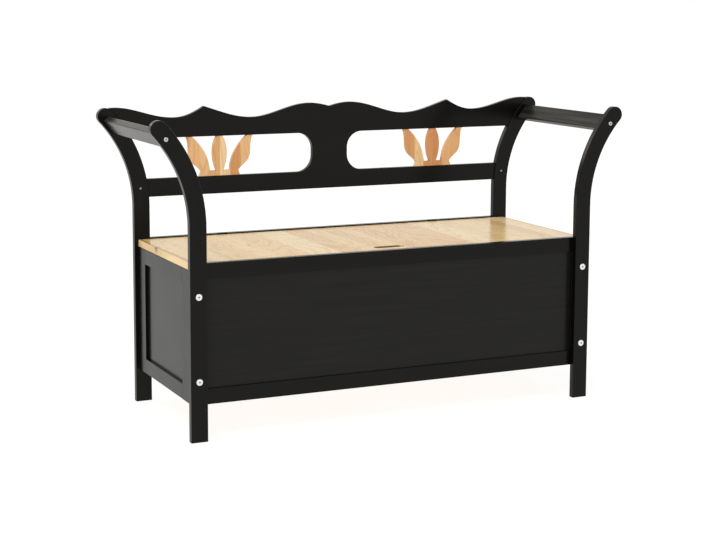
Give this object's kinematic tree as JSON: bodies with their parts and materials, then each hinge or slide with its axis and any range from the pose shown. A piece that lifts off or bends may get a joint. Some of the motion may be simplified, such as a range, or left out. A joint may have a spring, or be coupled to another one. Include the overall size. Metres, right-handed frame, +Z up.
{
  "type": "storage bench",
  "caption": "Wooden storage bench with a hinged pine seat lid, framed box, swept posts, sloping armrests and a waved backrest with tulip inserts.",
  "frame": {"origin": "on the floor under the middle of the bench, bottom centre of its box", "axes": "+X to the right as seen from the front, +Y towards the backrest, +Z up"},
  "size_m": [1.258, 0.4448, 0.75],
  "materials": {
    "black_painted_wood": "satin black paint on pine, arrises eased",
    "lacquered_pine": "edge-glued pine staves under clear satin lacquer",
    "bare_pine": "planed, no finish",
    "birch_plywood": "sanded, no finish",
    "beech_dowel": "turned, no finish",
    "zinc_plated_steel": "bright zinc plating",
    "dark_hinge_steel": "black oxide, satin"
  },
  "bodies": {
    "frame": {"arm_screws": "zinc_plated_steel", "backrest_board": "black_painted_wood", "backrest_dowels": "beech_dowel", "backrest_lock_screws": "zinc_plated_steel", "floor_board": "birch_plywood", "floor_cleat_screws": "zinc_plated_steel", "front_barrel_nuts": "zinc_plated_steel", "front_bottom_rail": "black_painted_wood", "front_floor_cleat": "bare_pine", "front_left_post": "black_painted_wood", "front_left_stile": "black_painted_wood", "front_panel": "black_painted_wood", "front_post_bolts": "zinc_plated_steel", "front_right_post": "black_painted_wood", "front_right_stile": "black_painted_wood", "front_seat_ledge": "bare_pine", "front_top_rail": "black_painted_wood", "hinge_rail_screws": "dark_hinge_steel", "insert_dowels": "beech_dowel", "left_armrest": "black_painted_wood", "left_floor_cleat": "bare_pine", "left_hinge_pin": "dark_hinge_steel", "left_hinge_rail_leaf": "dark_hinge_steel", "left_side_bottom_rail": "black_painted_wood", "left_side_front_stile": "black_painted_wood", "left_side_panel": "black_painted_wood", "left_side_rear_stile": "black_painted_wood", "left_side_top_rail": "black_painted_wood", "left_tulip_insert": "lacquered_pine", "rear_barrel_nuts": "zinc_plated_steel", "rear_bottom_rail": "black_painted_wood", "rear_floor_cleat": "bare_pine", "rear_frame_dowels": "beech_dowel", "rear_left_post": "black_painted_wood", "rear_left_stile": "black_painted_wood", "rear_panel": "black_painted_wood", "rear_post_bolts": "zinc_plated_steel", "rear_right_post": "black_painted_wood", "rear_right_stile": "black_painted_wood", "rear_seat_ledge": "bare_pine", "rear_top_rail": "black_painted_wood", "right_armrest": "black_painted_wood", "right_floor_cleat": "bare_pine", "right_hinge_pin": "dark_hinge_steel", "right_hinge_rail_leaf": "dark_hinge_steel", "right_side_bottom_rail": "black_painted_wood", "right_side_front_stile": "black_painted_wood", "right_side_panel": "black_painted_wood", "right_side_rear_stile": "black_painted_wood", "right_side_top_rail": "black_painted_wood", "right_tulip_insert": "lacquered_pine", "seat_ledge_screws": "zinc_plated_steel"},
    "lid": {"seat_lid": "lacquered_pine", "left_hinge_lid_leaf": "dark_hinge_steel", "right_hinge_lid_leaf": "dark_hinge_steel", "hinge_lid_screws": "dark_hinge_steel"}
  },
  "joints": [
    {"name": "lid_hinge", "type": "hinge", "parent": "frame", "child": "lid", "pos_m": [0, 0.2022, 0.4192], "axis": [-1, 0, 0], "range_deg": [0, 90]}
  ]
}
